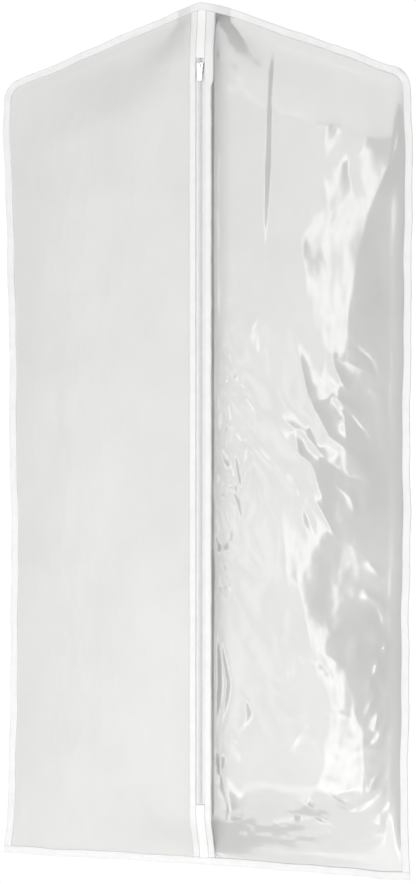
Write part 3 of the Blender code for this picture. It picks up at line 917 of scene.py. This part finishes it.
def placket(name, side):
    """Tape folded round the panel's edge along the zip. The right one is wider at its top end."""
    section = folded_section(PLACKET_OUT - PLACKET_IN, LEG)
    share = section[:, 0] / (PLACKET_OUT - PLACKET_IN)
    high = edge_z(np.array(PLACKET_OUT), BINDING + GAP)
    z = strip_rows(float(high), BOTTOM + BINDING + GAP)[:, None]
    x = PLACKET_IN + share[None, :] * (PLACKET_OUT - PLACKET_IN + widening(side, z))
    top = edge_z(x, BINDING + GAP)
    z = z + (top - high) * smooth((z - (high - 0.05)) / 0.05)
    face = np.sign(section[:, 1])[None, :]
    length = z * np.ones_like(x)
    hem = sum(swell(share[None, :], row, 0.10) for row in PLACKET_ROWS)
    belly = swell(share[None, :], 0.5, 0.2)
    puff = 0.00030 * ripple_noise(length, face + side, 110.0) * belly
    offset = section[None, :, 1] + face * (puff - 0.00018 * hem)
    wave = 0.00035 * ripple_noise(length, side * 4.0, 75.0) * smooth((share[None, :] - 0.75) / 0.25)
    rings = on_front(side * (x + wave), z, offset)
    uvs = np.stack([-length, along_section(section)[None, :] * np.ones_like(x)], -1)
    piece = loops_mesh(name + "_tape", settle(rings), uvs, TRIM)
    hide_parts(name)
    rows = []
    lie = -(LEG + TAPE / 2 - 0.00018 + STITCH_RADIUS * 0.3)
    for row in PLACKET_ROWS:
        down = strip_rows(float(high) - 0.002, BOTTOM + BINDING + 0.002)
        at = PLACKET_IN + row * (PLACKET_OUT - PLACKET_IN + widening(side, down))
        rows.append((settle(on_front(side * at, down, np.full(down.shape, lie))), (0, -1, 0)))
    return piece, rows


def zip_tape(name, side):
    low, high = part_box(name)
    inner, outer = sorted((abs(low.x), abs(high.x)))
    z = strip_rows(high.z, low.z, 0.004)[:, None]
    x = side * np.linspace(inner - 0.0002, outer, 15)[None, :] * np.ones_like(z)
    z = z * np.ones_like(x)
    inward = LEG + TAPE / 2 + GAP + FABRIC / 2
    points = on_front(x, z, np.full(x.shape, inward))
    return sheet_mesh(name + "_weave", points, ZIP_WEAVE, FABRIC)


COIL_PITCH = 0.0013  # from tooth to tooth
COIL_WIRE = 0.00029
COIL_STEPS = 10
COIL_SIDES = 5
HEAD_CROSSING = 0.00030  # how far each row's heads reach over the middle
CORD_HALF = (0.00042, 0.00034)  # half the cord's width and depth


def zip_coil(name, side):
    """One row of a nylon coil: a flattened helix whose heads mesh with the other row's, round a straight
    cord."""
    low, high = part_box(name)
    inner, outer = -HEAD_CROSSING, max(abs(low.x), abs(high.x)) - COIL_WIRE
    count = int((CHAIN_HIGH - CHAIN_LOW) / COIL_PITCH) * COIL_STEPS
    turn = np.arange(count) * 2 * math.pi / COIL_STEPS
    middle_x, reach = (inner + outer) / 2, (outer - inner) / 2
    middle_y, depth = (COIL_FRONT + COIL_BACK) / 2, (COIL_BACK - COIL_FRONT) / 2 - COIL_WIRE
    x = side * (middle_x - reach * np.cos(turn))
    y = middle_y - depth * np.sin(turn) * (1 + 0.15 * np.cos(turn))
    z = CHAIN_HIGH - COIL_WIRE - COIL_PITCH * turn / (2 * math.pi) - (COIL_PITCH / 2 if side > 0 else 0)
    centre = np.stack([x, y, z], -1)
    along = np.gradient(centre, axis=0)
    along /= np.linalg.norm(along, axis=1, keepdims=True)
    up = np.array([0.0, 0.0, 1.0])
    across = np.cross(along, up)
    across /= np.linalg.norm(across, axis=1, keepdims=True)
    rise = np.cross(across, along)
    around = np.arange(COIL_SIDES) * 2 * math.pi / COIL_SIDES
    head = 1 + 0.12 * np.cos(turn)
    ring = across[:, None] * np.cos(around)[None, :, None] + rise[:, None] * np.sin(around)[None, :, None]
    rings = centre[:, None] + COIL_WIRE * head[:, None, None] * ring
    uvs = np.zeros((count, COIL_SIDES, 2))
    piece = loops_mesh(name + "_teeth", rings, uvs, NYLON)
    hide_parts(name)
    z = np.linspace(CHAIN_HIGH - 0.001, CHAIN_LOW + 0.001, 400)
    spine = np.stack([np.full(z.shape, side * middle_x * 1.05), np.full(z.shape, middle_y), z], -1)
    circle = np.arange(6) * math.pi / 3
    section = np.stack([np.cos(circle) * CORD_HALF[0], np.sin(circle) * CORD_HALF[1], np.zeros(6)], -1)
    rings = spine[:, None] + section[None]
    return piece, loops_mesh(name + "_core", rings, np.zeros(rings.shape[:2] + (2,)), THREAD)


def patch(name, high, low):
    """Plain fabric between the plackets, beyond an end of the chain."""
    x = np.linspace(-PATCH_HALF, PATCH_HALF, 9)[None, :]
    top = edge_z(x, TUCK) if high is None else np.full(x.shape, high)
    rows = max(8, int(((high or 0) - low) / 0.003))
    z = top + (low - top) * np.linspace(0, 1, rows)[:, None]
    x = x * np.ones_like(z)
    points = on_front(x, z, 0.00012 * np.sin(z * 230.0) * (1 - (x / PATCH_HALF) ** 2))
    piece = sheet_mesh(name + "_fabric", points, PATCH_CLOTH, FABRIC)
    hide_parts(name)
    return piece


# Metal pieces


def softened(name, new_name, material, width, segments=2, shape=None):
    """A copy of a CAD piece's mesh with its flat faces joined again and its edges rounded. shape moves the
    copy's corners first."""
    mesh = frame["nodes"][name].data.copy()
    bm = bmesh.new()
    bm.from_mesh(mesh)
    bmesh.ops.remove_doubles(bm, verts=bm.verts, dist=0.000005)
    bmesh.ops.dissolve_limit(bm, angle_limit=math.radians(1), verts=bm.verts, edges=bm.edges)
    bmesh.ops.recalc_face_normals(bm, faces=bm.faces)
    if shape is not None:
        shape(bm)
    bm.to_mesh(mesh)
    bm.free()
    mesh.name = new_name
    mesh.materials.clear()
    mesh.materials.append(material)
    piece = link(new_name, mesh)
    edge = piece.modifiers.new("rounded_edges", "BEVEL")
    edge.width = width
    edge.segments = segments
    edge.limit_method = "ANGLE"
    edge.angle_limit = math.radians(28)
    mesh.polygons.foreach_set("use_smooth", np.ones(len(mesh.polygons), bool))
    flat = piece.modifiers.new("flat_faces", "WEIGHTED_NORMAL")
    flat.keep_sharp = True
    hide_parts(name)
    return piece


SLIDER_LOW, SLIDER_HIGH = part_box("slider_body")
PLATE = 0.0011  # thickness of the slider's plates
PLATE_FACE = COIL_FRONT - GAP - PLATE  # front face of its front plate
PLATE_SLOPE_X, PLATE_SLOPE_Z = 0.0013, 0.0012  # how far its sloping edges run in


def sloped_plate(bm):
    """Slopes the edges of the slider's two plates, as a die-cast one has them."""
    middle = (SLIDER_LOW.z + SLIDER_HIGH.z) / 2
    half = (SLIDER_HIGH.z - SLIDER_LOW.z) / 2
    for corner in bm.verts:
        on_face = min(abs(corner.co.y - PLATE_FACE), abs(corner.co.y - SLIDER_HIGH.y)) < 0.00008
        if on_face and abs(corner.co.x) > 0.0015:
            corner.co.x *= 1 - PLATE_SLOPE_X / SLIDER_HIGH.x
            corner.co.z = middle + (corner.co.z - middle) * (1 - PLATE_SLOPE_Z / half)


# Putting it together

bag = []
back = back_sheet()
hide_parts("back_panel")
left = front_panel("left_sheet", -1, 110, 420, MATTE, FABRIC)
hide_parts("front_panel_left")
right = front_panel("clear_sheet", 1, 200, 860, VINYL, 0.0)
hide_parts("front_panel_right")
bag += [back, left, right]
bag += list(bindings().values())
zip_rows = []
for hand, side in (("left", -1), ("right", 1)):
    strip, rows = placket("placket_" + hand, side)
    zip_rows += rows
    weave = zip_tape("zip_tape_" + hand, side)
    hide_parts("zip_tape_" + hand)
    teeth, core = zip_coil("zip_coil_" + hand, side)
    bag += [strip, weave, teeth, core]
    bag.append(softened("top_stop_" + hand, "crimp_top_" + hand, ALUMINIUM, 0.00012))
bag.append(softened("bottom_stop", "staple_bottom", ALUMINIUM, 0.00012))
bag.append(stitches("stitches_zip", zip_rows))
bag.append(patch("zip_top_patch", None, PATCH_LOW))
bag.append(patch("zip_bottom_patch", BOTTOM_PATCH_HIGH, BOTTOM + TUCK))
for piece in bag:
    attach(piece, "bag")
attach(softened("slider_body", "slider_casting", BRIGHT, 0.00025, 3, sloped_plate), "slider")
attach(softened("pull_tab", "pull_plate", BRIGHT, 0.00022, 3), "pull_tab")


# Light, floor and camera


def area_light(name, place, aim, width, height, radiance):
    lamp = bpy.data.lights.new(name, "AREA")
    lamp.shape = "RECTANGLE"
    lamp.size, lamp.size_y = width, height
    lamp.energy = radiance * math.pi * width * height
    light = link(name, lamp)
    light.location = place
    light.visible_camera = False
    light.rotation_euler = (Vector(aim) - Vector(place)).to_track_quat("-Z", "Y").to_euler()


def world():
    """White behind the bag for the camera, and a plain grey studio for everything else."""
    made = bpy.data.worlds.new("studio")
    bpy.context.scene.world = made
    made.use_nodes = True
    tree = made.node_tree
    tree.nodes.clear()
    seen = node(tree, "ShaderNodeBackground")
    seen.inputs["Color"].default_value = (1, 1, 1, 1)
    seen.inputs["Strength"].default_value = 1.02
    lit = node(tree, "ShaderNodeBackground")
    lit.inputs["Color"].default_value = (1, 1, 1, 1)
    lit.inputs["Strength"].default_value = ROOM
    mix = node(tree, "ShaderNodeMixShader")
    tree.links.new(node(tree, "ShaderNodeLightPath").outputs["Is Camera Ray"], mix.inputs[0])
    tree.links.new(lit.outputs[0], mix.inputs[1])
    tree.links.new(seen.outputs[0], mix.inputs[2])
    tree.links.new(mix.outputs[0], node(tree, "ShaderNodeOutputWorld").inputs["Surface"])


world()


def facing_bag(turn, distance, height):
    """A place in front of the bag, turn degrees to the right of straight ahead."""
    return (distance * math.sin(math.radians(turn)), -distance * math.cos(math.radians(turn)), height)


BAG_MIDDLE = (0.0, 0.0, -0.66)
area_light("wide_softbox", facing_bag(-14.2, 2.45, -0.72), BAG_MIDDLE, 1.66, 2.7, 1.69)
area_light("core_softbox", facing_bag(-12, 2.38, -1.05), BAG_MIDDLE, 0.32, 1.25, 0.8)
area_light("strip_softbox", facing_bag(7.6, 2.40, -0.80), BAG_MIDDLE, 0.20, 2.4, 5.0)
area_light("side_fill", facing_bag(55, 2.2, -0.8), BAG_MIDDLE, 0.8, 2.0, 2.2)
area_light("low_reflector", (-0.1, -0.98, -1.53), (-0.1, -0.97, 0.0), 1.3, 1.15, 1.2)
area_light("top_softbox", (0.12, -1.75, 1.10), (0.05, 0.0, -0.1), 1.55, 1.55, 2.0)
area_light("left_strip", facing_bag(-35.7, 2.45, -0.80), BAG_MIDDLE, 0.36, 2.3, 3.6)
area_light("back_softbox", facing_bag(168, 2.4, -0.40), BAG_MIDDLE, 1.8, 2.2, 4.5)


def floor():
    """A pale round of seamless paper, under the bag."""
    bm = bmesh.new()
    bmesh.ops.create_circle(bm, cap_ends=True, segments=96, radius=FLOOR_RADIUS)
    mesh = bpy.data.meshes.new("paper_floor")
    bm.to_mesh(mesh)
    bm.free()
    paper, tree, shader = make_material("floor_paper")
    where = node(tree, "ShaderNodeTexCoord").outputs["Object"]
    colour = ramp(tree, noise_node(tree, where, 3.0), [(0.3, grey(0.84)), (0.7, grey(0.87))])
    tree.links.new(colour, shader.inputs["Base Color"])
    shader.inputs["Roughness"].default_value = 0.8
    mesh.materials.append(paper)
    made = link("paper_floor", mesh)
    made.location.z = FLOOR_Z


floor()

lens = bpy.data.cameras.new("camera")
camera = link("camera", lens)
camera.location = (VIEW_DISTANCE * math.sin(VIEW_TURN), -VIEW_DISTANCE * math.cos(VIEW_TURN), EYE_Z)
camera.rotation_euler = (math.pi / 2, 0, VIEW_TURN)
lens.lens = LENS
lens.sensor_width = 36.0
lens.shift_x = 0.0056
lens.shift_y = -0.0588
lens.clip_start = 0.01
bpy.context.scene.camera = camera
bpy.context.scene.view_settings.view_transform = "Standard"
